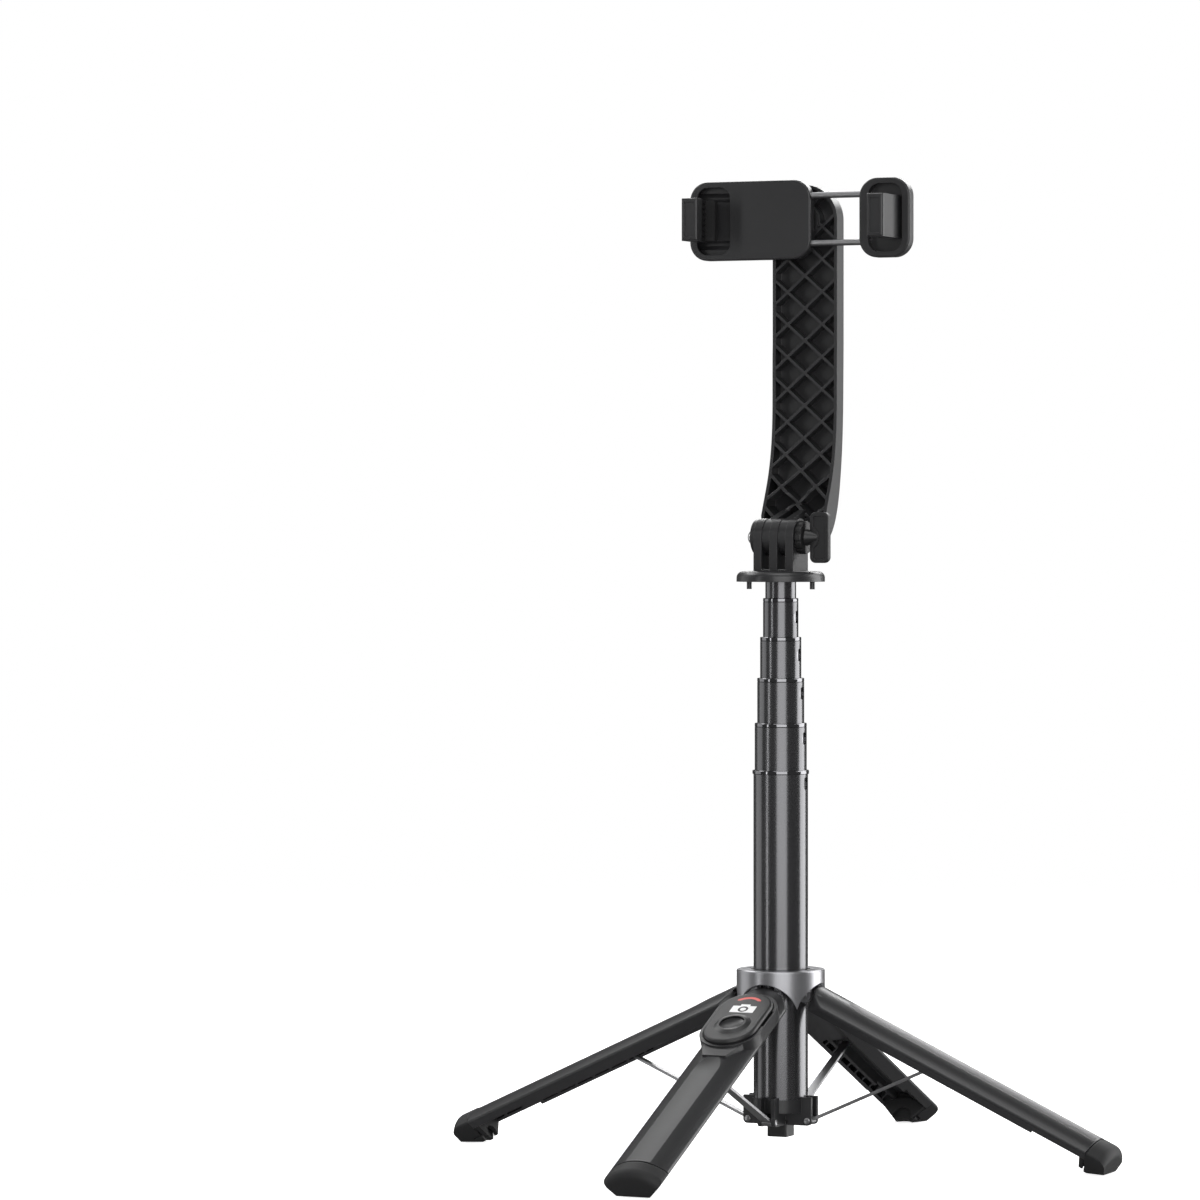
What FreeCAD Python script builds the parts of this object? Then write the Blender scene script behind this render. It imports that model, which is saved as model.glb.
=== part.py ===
"""Selfie stick: telescopic handle with four fold-out legs, a sprung phone clamp and a lift-off remote.

Millimetres, +Z up. The origin is on the ground, on the handle's axis. The front leg, which carries
the remote, points along -Y. Each leg is first drawn folded against the handle, pointing right,
with its hinge pin at height 0: X is the distance from the handle's axis and -Z the way to the foot.
"""
import FreeCAD
import Part
import math
import os

V = FreeCAD.Vector
X, Y, Z = V(1, 0, 0), V(0, 1, 0), V(0, 0, 1)
ORIGIN = V(0, 0, 0)

# Fold of the legs
OPEN_ANGLE = 65.0          # leg from the vertical when open
HINGE_R = 12.8             # hub pins and collar pins, from the handle's axis
HINGE_Z = 64.65            # hub pins above the ground
COLLAR_PIN_Z = 14.8        # lower strut pins above the ground
EYE_R = 14.0               # upper strut pins, from the handle's axis when folded
PIN_R = 0.8
PIN_GAP = 0.05             # running clearance round a pin

# Equal triangles make the fold exact: a strut is as long as the leg from hinge to eye
EYE_SHIFT = EYE_R - HINGE_R
EYE_S = 62.0
for _ in range(20):
    strut_tilt = math.radians(OPEN_ANGLE) + math.atan2(EYE_SHIFT, EYE_S)
    STRUT_LENGTH = (HINGE_Z - COLLAR_PIN_Z) / 2 / math.cos(strut_tilt)
    EYE_S = math.sqrt(STRUT_LENGTH ** 2 - EYE_SHIFT ** 2)
STRUT_TILT = math.degrees(strut_tilt)

# Grip: what the folded legs, hub and head share
GRIP_R = 17.5
LEG_INNER_R = 11.8
LEG_GAP = 0.2              # half the gap between folded legs
LEG_TOP_S = 1.5
LEG_ARCH_R = 12.3
SHELL_END_S = 132.0
FOOT_END_S = 140.9
FOOT_INNER_R = 5.0
FLUTE_DEPTH, FLUTE_R = 1.0, 45.0
FLUTE_START_S = {"front": 64.0, "other": 26.0}
EDGE_ROUND = 1.0
FOOT_ROUND = 3.5
SKIN_R = 15.9              # inside of the outer skin
CHANNEL_T = 4.1            # half-width of the strut's channel
KNUCKLE_T = 3.5            # half-width of the leg's tongue

# Hub
HUB_LOW, HUB_HIGH = 59.7, 74.3
HUB_ARCH_Z = 56.7
HUB_BORE_R = 11.7
LUG_R = 2.8
LUG_T = 6.6

# Telescopic handle: outer radius, wall, top height and lowest point of each sliding tube
TUBE_R = 10.8
TUBE_LOW, TUBE_TOP = 20.5, 151.3
TUBE_WALL = 0.4
RIM_R, RIM_TOP = 11.2, 152.9
RIM_TALL = 1.6
SECTIONS = {
    2: (10.3, 0.55, 171.5, 45.5),
    3: (9.3, 0.6, 189.3, 63.3),
    4: (8.15, 0.55, 205.5, 79.5),
    5: (7.0, 0.5, 220.9, 94.9),
    6: (6.1, 0.7, 227.4, 101.4),
}
SLIDE_GAP = 0.05
GLIDE_TALL = 4.0
SLEEVE_TALL = 8.0
# Oval windows near the top of each tube, by the height of their middles
DIMPLE_W, DIMPLE_H = 4.2, 5.0
DIMPLE_Z = {1: 147.7, 2: 165.5, 3: 183.3, 4: 198.4, 5: 213.4}

# Strut collar and the square plug under it
COLLAR_R, COLLAR_LOW, COLLAR_HIGH = 11.1, 18.0, 23.3
NAVE_R, NAVE_LOW = 5.0, 14.5
EAR_SLOT, EAR_T = 2.15, 3.7
EAR_R, EAR_TOP = 14.6, 24.2
PLUG_HALF, PLUG_LOW, SPIGOT_R = 4.2, 8.15, 3.0

# Head
DISC_LOW, DISC_HIGH = 227.4, 231.5
ROOT_TOP = 232.1
PEG_X, PEG_R, PEG_LOW = 13.6, 1.0, 224.4
TILT_Z = 244.9
PRONG_T, PRONG_PITCH, PRONG_R = 3.4, 6.8, 7.5
BOLT_R = 2.45
BOLT_HOLE_R = 2.5
KNOB_R = 6.6
PADDLE_X0, PADDLE_X1, PADDLE_T = 13.0, 21.0, 1.4
PADDLE_LOW, PADDLE_HIGH = 234.8, 254.9

# Arm and clamp
ARM_HALF = 14.0
ARM_SKIN = 1.3
RIB_T, RIB_SLOPE = 1.1, 41.0
RIB_START_Z, RIB_PITCH = 258.5, 13.0
SWIVEL_Z = 371.7
SWIVEL_R = 3.0
ARM_FRONT_Y, ARM_BACK_Y = 24.2, 31.0
CLAMP_HALF, CLAMP_TALL = 47.7, 31.6
FRAME_FRONT_Y, FRAME_BACK_Y, COVER_BACK_Y = 17.9, 22.2, 23.4
FRAME_RIM, FRAME_CORNER = 3.3, 7.5
HOUSING_X = 5.0
SLIDER_X = 26.0
JAW_X, JAW_TIP_X, PHONE_X = 43.5, 36.4, 38.8
JAW_TALL = 17.0
JAW_FRONT_Y, LIP_BACK_Y, PHONE_BACK_Y = 0.3, 5.3, 14.0
PHONE_FRONT_Y = 6.15
ROD_R, ROD_Z = 1.25, 9.5
ROD_FROM, ROD_TO = -26.0, 30.0

# Remote, measured on the front leg from its hinge
REMOTE_S = 29.0
REMOTE_HALF_T, REMOTE_HALF_S = 11.0, 18.8
REMOTE_SEAT, REMOTE_SPLIT, REMOTE_FACE = 14.4, 17.2, 20.0
BUTTON_S = REMOTE_S + 5.8
BUTTON_R = 4.9

ANGLES = {"right": 0, "back": 90, "left": 180, "front": 270}
nodes = {}


def box(x0, x1, y0, y1, z0, z1):
    return Part.makeBox(x1 - x0, y1 - y0, z1 - z0, V(x0, y0, z0))


def rod(radius, start, along, length):
    return Part.makeCylinder(radius, length, start, along)


def ring(outer, inner, low, high):
    hole = rod(inner, V(0, 0, low - 1), Z, high - low + 2)
    return rod(outer, V(0, 0, low), Z, high - low).cut(hole)


def prism(points, along):
    """A closed polygon pushed along a vector."""
    return Part.Face(Part.makePolygon(points + points[:1])).extrude(along)


def fuse(first, *others):
    return first.fuse(list(others)).removeSplitter()


def cut(first, *others):
    return first.cut(list(others))


def stadium(half_t, half_s, centre_s, low, high):
    """A rounded plate on a folded leg, facing outwards, from radius low to high."""
    reach = half_s - half_t
    ends = [rod(half_t, V(low, 0, -centre_s + k * reach), X, high - low) for k in (-1, 1)]
    middle = box(low, high, -half_t, half_t, -centre_s - reach, -centre_s + reach)
    return fuse(middle, *ends)


def rounded_plate(x0, x1, y0, y1, half_z, radius):
    """A plate in the clamp's plane, with rounded corners seen from the front."""
    plate = box(x0, x1, y0, y1, SWIVEL_Z - half_z, SWIVEL_Z + half_z)
    corners = [e for e in plate.Edges if abs(e.tangentAt(e.FirstParameter).y) > 0.9]
    return plate.makeFillet(radius, corners)


def turned(shape, angle):
    """A copy turned about the handle's axis."""
    made = shape.copy()
    made.rotate(ORIGIN, Z, angle)
    return made


def open_leg(shape, side):
    """Swings a part drawn on the folded leg out to its open place."""
    made = shape.copy()
    made.rotate(V(HINGE_R, 0, 0), Y, -OPEN_ANGLE)
    made.translate(V(0, 0, HINGE_Z))
    return turned(made, ANGLES[side])


def all_round(shape):
    """Four copies, one for each leg, as one group of solids."""
    return Part.makeCompound([turned(shape, angle) for angle in ANGLES.values()])


def quarter(outer, inner, top_s, end_s, gap=LEG_GAP):
    """A quarter of the grip, from radius inner to outer and between two distances from the hinge."""
    far = outer * 2
    side = far - gap * math.sqrt(2)
    wedge = prism([V(gap * math.sqrt(2), 0, -end_s), V(far, side, -end_s), V(far, -side, -end_s)],
                  V(0, 0, end_s - top_s))
    return wedge.common(ring(outer, inner, -end_s, -top_s))


def leg_arch():
    """The outline of a leg seen from outside, with its round top, as a tall block."""
    centre = -LEG_TOP_S - LEG_ARCH_R
    top = rod(LEG_ARCH_R, V(0, 0, centre), X, 40)
    return fuse(top, box(0, 40, -LEG_ARCH_R - 1, LEG_ARCH_R + 1, -200, centre - 4),
                box(0, 40, -LEG_ARCH_R, LEG_ARCH_R, centre - 5, centre))


def fish_scales(start_s, end_s, pitch, radius, thick):
    """Curved cross ribs for the inside of a leg."""
    ribs = []
    s = start_s
    while s < end_s:
        outer = rod(radius, V(8, 0, -s), X, 12)
        outer = cut(outer, rod(radius - thick, V(7, 0, -s), X, 14),
                    box(7, 21, -radius, radius, -s - radius - 1, -s))
        ribs.append(outer)
        s += pitch
    return ribs


def outer_edges(shape, end_s):
    """Edges on the grip's outside, without its seam and without those at a given distance from the hinge."""
    found = []
    for edge in shape.Edges:
        first, last = edge.FirstParameter, edge.LastParameter
        points = [edge.valueAt(first + (last - first) * share) for share in (0, 0.5, 1)]
        outside = all(abs(math.hypot(p.x, p.y) - GRIP_R) < 0.02 for p in points)
        if outside and abs(points[1].y) > 0.1 and abs(points[1].z + end_s) > 0.05:
            found.append(edge)
    return found


def leg_shell(side):
    leg = quarter(GRIP_R, LEG_INNER_R, 0.5, SHELL_END_S).common(leg_arch())
    leg = leg.makeFillet(EDGE_ROUND, outer_edges(leg, SHELL_END_S))
    # shallow flute down the outside with a rounded upper end, under the remote's place in front
    top = FLUTE_START_S["front" if side == "front" else "other"]
    middle = V(GRIP_R - FLUTE_DEPTH + FLUTE_R, 0, -top)
    flute = rod(FLUTE_R, middle, -Z, SHELL_END_S - top - 0.6)
    leg = cut(leg, flute, Part.makeSphere(FLUTE_R, middle))
    # recesses between the side walls and the strut's channel, crossed by curved ribs
    hollow = quarter(SKIN_R, LEG_INNER_R - 1, 52, SHELL_END_S - 2.5, 1.7)
    wall = box(5, 20, -CHANNEL_T - 1.1, CHANNEL_T + 1.1, -SHELL_END_S, -50)
    hollow = cut(hollow, wall, *fish_scales(56, SHELL_END_S + 2, 8.5, 11.5, 0.9))
    channel = box(5, EYE_R + 1.7, -CHANNEL_T, CHANNEL_T, -SHELL_END_S - 1, -EYE_S + 7)
    # lower end steps back to clear the collar
    step = rod(LEG_INNER_R + 1.6, V(0, 0, -SHELL_END_S - 1), Z, SHELL_END_S + 1 - 108)
    # room for the hub's lugs, and the tongue between them
    lug_room = box(5, SKIN_R, -7.1, 7.1, -7.5, 3)
    leg = cut(leg, hollow, channel, step, lug_room)
    eye_r = HINGE_R - TUBE_R - 0.25
    tongue = fuse(box(HINGE_R - eye_r, HINGE_R + eye_r, -KNUCKLE_T, KNUCKLE_T, -9, 0),
                  rod(eye_r, V(HINGE_R, -KNUCKLE_T, 0), Y, 2 * KNUCKLE_T))
    bosses = []
    for t in (-1, 1):
        low, high = sorted((t * 2.0, t * (CHANNEL_T + 0.3)))
        bosses.append(rod(1.45, V(EYE_R, low, -EYE_S), Y, high - low))
        bosses.append(box(EYE_R, SKIN_R, low, high, -EYE_S - 1.45, -EYE_S + 1.45))
    leg = fuse(leg, tongue, *bosses)
    leg = cut(leg, rod(PIN_R + PIN_GAP, V(HINGE_R, -5, 0), Y, 10),
              rod(PIN_R, V(EYE_R, -CHANNEL_T - 0.9, -EYE_S), Y, 2 * CHANNEL_T + 1.8))
    if side == "front":
        cradle = stadium(REMOTE_HALF_T + 1.5, REMOTE_HALF_S + 1.5, REMOTE_S, 13.4, 18.4)
        cradle = cradle.common(quarter(30, 13.2, 2, 60, LEG_GAP))
        neck = prism([V(13.5, -8.5, -46), V(13.5, 8.5, -46), V(13.5, 5.0, -55), V(13.5, -5.0, -55)],
                     V(4.3, 0, 0))
        seat = stadium(REMOTE_HALF_T + 0.2, REMOTE_HALF_S + 0.2, REMOTE_S, REMOTE_SEAT, 22)
        nail_notch = box(REMOTE_SEAT + 0.6, 22, REMOTE_HALF_T - 0.5, REMOTE_HALF_T + 1.1,
                         -REMOTE_S - 4, -REMOTE_S + 7.5)
        leg = cut(fuse(leg, cradle, neck), seat, nail_notch)
    return leg


def foot(side):
    """Rubber end of a leg, cut level where it stands, with the claw that grips the base plug."""
    nose = rod(GRIP_R, V(0, 0, -FOOT_END_S), Z, 30)
    nose = nose.makeFillet(FOOT_ROUND, [e for e in nose.Edges if e.BoundBox.ZMax < 0.01 - FOOT_END_S])
    block = quarter(GRIP_R, FOOT_INNER_R, SHELL_END_S, FOOT_END_S)
    block = block.makeFillet(EDGE_ROUND, outer_edges(block, FOOT_END_S)).common(nose)
    claw = quarter(13.2, 5.3, SHELL_END_S - 2.4, SHELL_END_S - 0.6, LEG_GAP + 0.2)
    claw = cut(claw, rod(4.0, V(5.0, 0, -SHELL_END_S), Z, 4))
    web = quarter(13.2, 10.4, SHELL_END_S - 0.7, SHELL_END_S + 1, LEG_GAP + 0.4)
    slots = [box(FOOT_INNER_R, 13, t - 0.5, t + 0.5, -SHELL_END_S - 3.5, -SHELL_END_S + 1)
             for t in (-5.5, 5.5)]
    made = open_leg(fuse(cut(block, *slots), claw, web), side)
    return made.common(box(-200, 200, -200, 200, 0, 100))


def strut(side):
    """Flat bar from a collar pin up to the leg's eye, drawn upright and then leaned out."""
    low, high, thick = 2.0, 1.55, 0.55
    bar = prism([V(-thick, -low, 0), V(-thick, low, 0), V(-thick, high, STRUT_LENGTH),
                 V(-thick, -high, STRUT_LENGTH)], V(2 * thick, 0, 0))
    bar = fuse(bar, rod(1.6, V(0, -low, 0), Y, 2 * low),
               rod(1.35, V(0, -high, STRUT_LENGTH), Y, 2 * high))
    bar = cut(bar, rod(PIN_R + PIN_GAP, V(0, -5, 0), Y, 10),
              rod(PIN_R + PIN_GAP, V(0, -5, STRUT_LENGTH), Y, 10))
    bar.rotate(ORIGIN, Y, STRUT_TILT)
    bar.translate(V(HINGE_R, 0, COLLAR_PIN_Z))
    return turned(bar, ANGLES[side])


def strut_pin(side):
    half = CHANNEL_T + 0.85
    return open_leg(rod(PIN_R, V(EYE_R, -half, -EYE_S), Y, 2 * half), side)


def hub():
    body = ring(GRIP_R, HUB_BORE_R, HUB_LOW, HUB_HIGH)
    body = cut(body, *[turned(rod(LEG_ARCH_R, V(4, 0, HUB_ARCH_Z), X, 20), a)
                       for a in ANGLES.values()])
    arches = [e for e in body.Edges if e.BoundBox.ZMax < HUB_HIGH - 1
              and abs(math.hypot(e.Vertexes[0].X, e.Vertexes[0].Y) - GRIP_R) < 0.02
              and abs(math.hypot(e.Vertexes[-1].X, e.Vertexes[-1].Y) - GRIP_R) < 0.02]
    body = body.makeFillet(0.3, arches)
    top_edge = [e for e in body.Edges if abs(e.BoundBox.ZMin - HUB_HIGH) < 0.01
                and abs(e.BoundBox.XMax - GRIP_R) < 0.01]
    body = body.makeFillet(0.7, top_edge)
    lugs = []
    for t in (-1, 1):
        low, high = sorted((t * (KNUCKLE_T + 0.2), t * LUG_T))
        arm = fuse(box(HUB_BORE_R - 1, HINGE_R + 2.0, low, high, HINGE_Z, HUB_ARCH_Z + LEG_ARCH_R),
                   rod(LUG_R, V(HINGE_R, low, HINGE_Z), Y, high - low))
        arm = cut(arm, rod(HUB_BORE_R, V(0, 0, 0), Z, 100),
                  rod(PIN_R, V(HINGE_R, -9, HINGE_Z), Y, 18))
        lugs += [turned(arm, a) for a in ANGLES.values()]
    body = fuse(body, *lugs)
    sockets = [rod(PEG_R + 0.2, V(x, 0, HUB_HIGH - 3.6), Z, 5) for x in (-PEG_X, PEG_X)]
    return cut(body, *sockets)


def hub_liner():
    return ring(HUB_BORE_R, TUBE_R + 0.08, HUB_ARCH_Z + LEG_ARCH_R + 0.2, HUB_HIGH - 0.4)


def hub_pins():
    return all_round(rod(PIN_R, V(HINGE_R, -LUG_T, HINGE_Z), Y, 2 * LUG_T))


def strut_collar():
    """Cup for the tube's foot, with a pair of ears for each strut round a narrow nave."""
    body = fuse(ring(COLLAR_R, TUBE_R, TUBE_LOW, COLLAR_HIGH),
                rod(COLLAR_R, V(0, 0, COLLAR_LOW), Z, TUBE_LOW - COLLAR_LOW),
                rod(NAVE_R, V(0, 0, NAVE_LOW), Z, COLLAR_LOW - NAVE_LOW + 0.2))
    ears = []
    for t in (-1, 1):
        low, high = sorted((t * EAR_SLOT, t * EAR_T))
        ear = fuse(box(3.5, EAR_R, low, high, COLLAR_PIN_Z, EAR_TOP),
                   rod(1.8, V(HINGE_R, low, COLLAR_PIN_Z), Y, high - low),
                   box(PLUG_HALF + 0.2, HINGE_R, low, high, COLLAR_PIN_Z - 1.8, COLLAR_PIN_Z))
        ears += [turned(ear, a) for a in ANGLES.values()]
    body = fuse(body, *ears)
    return cut(body, rod(TUBE_R, V(0, 0, TUBE_LOW), Z, 10),
               rod(SPIGOT_R, V(0, 0, 10), Z, TUBE_LOW - 10),
               *[turned(rod(PIN_R, V(HINGE_R, -5, COLLAR_PIN_Z), Y, 10), a)
                 for a in ANGLES.values()])


def base_plug():
    plug = box(-PLUG_HALF, PLUG_HALF, -PLUG_HALF, PLUG_HALF, PLUG_LOW, NAVE_LOW)
    upright = [e for e in plug.Edges if e.BoundBox.ZLength > 6]
    plug = plug.makeFillet(0.8, upright)
    return fuse(plug, rod(SPIGOT_R, V(0, 0, NAVE_LOW - 0.5), Z, TUBE_LOW - NAVE_LOW + 0.5))


def collar_pins():
    return all_round(rod(PIN_R, V(HINGE_R, -EAR_T, COLLAR_PIN_Z), Y, 2 * EAR_T))


def dimpled(tube, radius, middle):
    """Cuts the two oval windows through a tube's left and right walls."""
    reach = radius + 2
    rise = (DIMPLE_H - DIMPLE_W) / 2
    mark = fuse(box(-reach, reach, -DIMPLE_W / 2, DIMPLE_W / 2, middle - rise, middle + rise),
                *[rod(DIMPLE_W / 2, V(-reach, 0, middle + k * rise), X, 2 * reach) for k in (-1, 1)])
    return cut(tube, mark)


def main_tube():
    tube = ring(TUBE_R, TUBE_R - TUBE_WALL, TUBE_LOW, TUBE_TOP)
    return dimpled(tube, TUBE_R, DIMPLE_Z[1])


def rim(outer, bore, top, sleeve_r, sleeve_tall):
    """Rolled lip on top of a tube, with a guide sleeve inside where there is room for one."""
    lip = ring(outer, bore, top - RIM_TALL, top)
    edges = [e for e in lip.Edges if abs(e.BoundBox.XMax - outer) < 0.01 and e.BoundBox.ZLength < 0.01]
    lip = lip.makeFillet(0.35, edges)
    if not sleeve_tall:
        return lip
    return fuse(lip, ring(sleeve_r, bore, top - RIM_TALL - sleeve_tall, top - RIM_TALL))


def section(i):
    radius, wall, top, low = SECTIONS[i]
    end = top if i == 6 else top - RIM_TALL
    tube = ring(radius, radius - wall, low, end)
    return tube if i == 6 else dimpled(tube, radius, DIMPLE_Z[i])


def section_rim(i):
    radius, wall, top, _ = SECTIONS[i]
    bore = SECTIONS[i + 1][0] + SLIDE_GAP
    return rim(radius, bore, top, radius - wall, SLEEVE_TALL)


def section_glide(i):
    """Guide ring under a section, running in the tube outside it."""
    radius, wall, _, low = SECTIONS[i]
    outside = TUBE_R - TUBE_WALL if i == 2 else SECTIONS[i - 1][0] - SECTIONS[i - 1][1]
    return ring(outside - SLIDE_GAP, radius - wall, low - GLIDE_TALL, low)


def prong(x):
    return fuse(box(x - PRONG_T / 2, x + PRONG_T / 2, -PRONG_R, PRONG_R, DISC_HIGH - 1, TILT_Z),
                rod(PRONG_R, V(x - PRONG_T / 2, 0, TILT_Z), X, PRONG_T))


def head_fork():
    disc = rod(GRIP_R, V(0, 0, DISC_LOW), Z, DISC_HIGH - DISC_LOW)
    edge = [e for e in disc.Edges if abs(e.BoundBox.ZMin - DISC_HIGH) < 0.01
            and e.BoundBox.ZLength < 0.01]
    disc = disc.makeFillet(2.6, edge)
    root = box(-PRONG_PITCH - 1.7, PRONG_PITCH + 1.7, -PRONG_R, PRONG_R, DISC_HIGH - 1, ROOT_TOP)
    spigot = rod(SECTIONS[6][0] - SECTIONS[6][1] - 0.02, V(0, 0, DISC_LOW - 10), Z, 11)
    pegs = [rod(PEG_R, V(x, 0, PEG_LOW), Z, DISC_LOW - PEG_LOW + 1) for x in (-PEG_X, PEG_X)]
    boss = rod(7.0, V(-10.3, 0, TILT_Z), X, 3)
    prongs = [prong(k * PRONG_PITCH) for k in (-1, 0, 1)]
    body = fuse(disc, root, spigot, boss, *pegs, *prongs)
    return cut(body, rod(BOLT_HOLE_R, V(-20, 0, TILT_Z), X, 40))


def cap_nut():
    """Domed nut on the left end of the hinge bolt."""
    dome = Part.makeSphere(3.4, V(-10.3 - 0.2, 0, TILT_Z))
    dome = dome.common(box(-15, -10.3, -5, 5, TILT_Z - 5, TILT_Z + 5))
    hexagon = [V(-10.3, 4.3 * math.cos(math.radians(a)), TILT_Z + 4.3 * math.sin(math.radians(a)))
               for a in range(0, 360, 60)]
    body = fuse(prism(hexagon, V(-1.5, 0, 0)), dome)
    return cut(body, rod(BOLT_R + 0.03, V(-12.4, 0, TILT_Z), X, 5))


def hinge_bolt():
    return rod(BOLT_R, V(-12.2, 0, TILT_Z), X, 12.2 + 10.6)


def thumb_knob():
    """Knob with a flat paddle, turned to clamp the tilt hinge."""
    barrel = rod(KNOB_R, V(8.7, 0, TILT_Z), X, 2.6)
    barrel = barrel.makeFillet(0.5, [e for e in barrel.Edges if e.BoundBox.XMin > 11])
    neck = Part.makeCone(3.4, 1.6, 5.2, V(11.2, 0, TILT_Z), X)
    paddle = box(PADDLE_X0, PADDLE_X1, -PADDLE_T, PADDLE_T, PADDLE_LOW, PADDLE_HIGH)
    paddle = paddle.makeFillet(2.4, [e for e in paddle.Edges if e.BoundBox.YLength > 2.5])
    paddle = paddle.makeFillet(0.45, [e for e in paddle.Edges if e.BoundBox.YLength < 0.01])
    panels = []
    for y0, y1 in ((-PADDLE_T - 1, 0.5 - PADDLE_T), (PADDLE_T - 0.5, PADDLE_T + 1)):
        panel = box(PADDLE_X0 + 1.5, PADDLE_X1 - 1.5, y0, y1, PADDLE_LOW + 1.6, PADDLE_HIGH - 1.6)
        panel = panel.makeFillet(1.0, [e for e in panel.Edges if e.BoundBox.YLength > 1])
        panels.append(cut(panel, rod(5.0, V(11.8, -3, TILT_Z), Y, 6)))
    body = fuse(cut(paddle, *panels), barrel, neck)
    grooves = [rod(0.7, V(8, (KNOB_R + 0.3) * math.cos(math.radians(a)),
                          TILT_Z + (KNOB_R + 0.3) * math.sin(math.radians(a))), X, 3.4)
               for a in range(15, 375, 30)]
    return cut(body, rod(BOLT_R, V(5, 0, TILT_Z), X, 5.6), *grooves)


FRONT_EDGE = [(12.6, 253.6), (16.0, 261.0), (19.3, 268.6), (22.7, 281.5), (24.0, 300.0),
              (ARM_FRONT_Y, 322.0)]
BACK_EDGE = [(13.6, 243.2), (19.6, 247.5), (24.4, 255.7), (27.6, 267.6), (29.6, 281.5), (30.7, 302.0),
             (ARM_BACK_Y, 322.0)]


def side_profile(inset):
    """Side outline of the arm as a face at X = 0, its back edge moved forward by inset."""
    top = SWIVEL_Z + ARM_HALF + 1
    back = [V(0, y - inset, z) for y, z in BACK_EDGE]
    front = [V(0, y, z) for y, z in FRONT_EDGE]
    back_curve = Part.BSplineCurve()
    back_curve.interpolate(back)
    front_curve = Part.BSplineCurve()
    front_curve.interpolate(front)
    outline = Part.Wire([
        front_curve.toShape(),
        Part.makeLine(front[-1], V(0, ARM_FRONT_Y, top)),
        Part.makeLine(V(0, ARM_FRONT_Y, top), V(0, ARM_BACK_Y - inset, top)),
        Part.makeLine(V(0, ARM_BACK_Y - inset, top), back[-1]),
        back_curve.toShape(),
        Part.makeLine(back[0], front[0]),
    ])
    return Part.Face(outline)


def slab(half, inset):
    face = side_profile(inset)
    face.translate(V(-half, 0, 0))
    return face.extrude(V(2 * half, 0, 0))


def arm():
    """Curved arm with a front recess crossed by a lattice, two hinge tongues and a round top."""
    end = rod(ARM_HALF, V(0, 0, SWIVEL_Z), Y, 60)
    outline = fuse(end, box(-ARM_HALF, ARM_HALF, 0, 60, 230, SWIVEL_Z))
    body = slab(ARM_HALF, 0).common(outline)
    inner_end = rod(ARM_HALF - ARM_SKIN, V(0, 0, SWIVEL_Z), Y, 60)
    inner = fuse(inner_end, box(-ARM_HALF + ARM_SKIN, ARM_HALF - ARM_SKIN, 0, 60, 252.5, SWIVEL_Z))
    recess = slab(ARM_HALF - ARM_SKIN, ARM_SKIN).common(inner)
    ribs = []
    for k in range(-1, 11):
        for lean in (-RIB_SLOPE, RIB_SLOPE):
            rib = box(-40, 40, 0, 60, -RIB_T / 2, RIB_T / 2)
            rib.rotate(ORIGIN, Y, lean)
            rib.translate(V(0, 0, RIB_START_Z + RIB_PITCH * k))
            ribs.append(rib)
    boss = rod(6.5, V(0, 0, SWIVEL_Z), Y, 60)
    recess = cut(recess, boss, *ribs)
    body = cut(body, recess)
    tongues = []
    for x in (-PRONG_PITCH / 2, PRONG_PITCH / 2):
        half = 1.6
        web = prism([V(x - half, 0, TILT_Z + 7.3), V(x - half, 14.5, 256.0), V(x - half, 16.5, 246.0),
                     V(x - half, 5.5, TILT_Z - 4.8)], V(2 * half, 0, 0))
        tongues.append(fuse(rod(7.3, V(x - half, 0, TILT_Z), X, 2 * half), web))
    body = fuse(body, *tongues)
    clear = rod(8.1, V(-20, 0, TILT_Z), X, 14.8)
    clear_right = rod(8.1, V(5.2, 0, TILT_Z), X, 14.8)
    clear_mid = rod(8.1, V(-1.7, 0, TILT_Z), X, 3.4)
    # where the edge of the disc lies when the arm is folded right down
    disc_room = rod(GRIP_R + 0.4, V(0, 0, 2 * TILT_Z - DISC_HIGH - 0.4), Z, DISC_HIGH - DISC_LOW + 0.8)
    return cut(body, rod(BOLT_HOLE_R, V(-20, 0, TILT_Z), X, 40), clear, clear_right, clear_mid, disc_room,
               rod(SWIVEL_R + PIN_GAP, V(0, 0, SWIVEL_Z), Y, 60))


def swivel_pin():
    """Pin with a broad head behind the arm and a flange in front of it."""
    return fuse(rod(SWIVEL_R, V(0, FRAME_BACK_Y - 1.5, SWIVEL_Z), Y, ARM_BACK_Y + 0.1 - FRAME_BACK_Y + 1.5),
                rod(6.0, V(0, ARM_BACK_Y + 0.1, SWIVEL_Z), Y, 1.4),
                rod(6.2, V(0, COVER_BACK_Y, SWIVEL_Z), Y, ARM_FRONT_Y - 0.1 - COVER_BACK_Y))


def jaw(side):
    """Hooked jaw with a recessed front panel, as a solid on the side given by -1 or 1."""
    half = JAW_TALL / 2

    def span(x0, x1, y0, y1, h):
        low, high = sorted((side * x0, side * x1))
        return box(low, high, y0, y1, SWIVEL_Z - h, SWIVEL_Z + h)

    hook = fuse(span(40.2, JAW_X, JAW_FRONT_Y, FRAME_BACK_Y - 0.6, half),
                span(JAW_TIP_X, JAW_X, JAW_FRONT_Y, LIP_BACK_Y, half))
    edges = [e for e in hook.Edges if e.BoundBox.YMax < JAW_FRONT_Y + 0.01
             or (e.BoundBox.ZLength > 10 and abs(abs(e.BoundBox.Center.x) - JAW_TIP_X) < 0.1)]
    hook = hook.makeFillet(0.9, edges)
    return cut(hook, span(JAW_TIP_X + 1.2, JAW_X - 1.4, JAW_FRONT_Y - 1, JAW_FRONT_Y + 0.5, half - 1.6))


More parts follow.
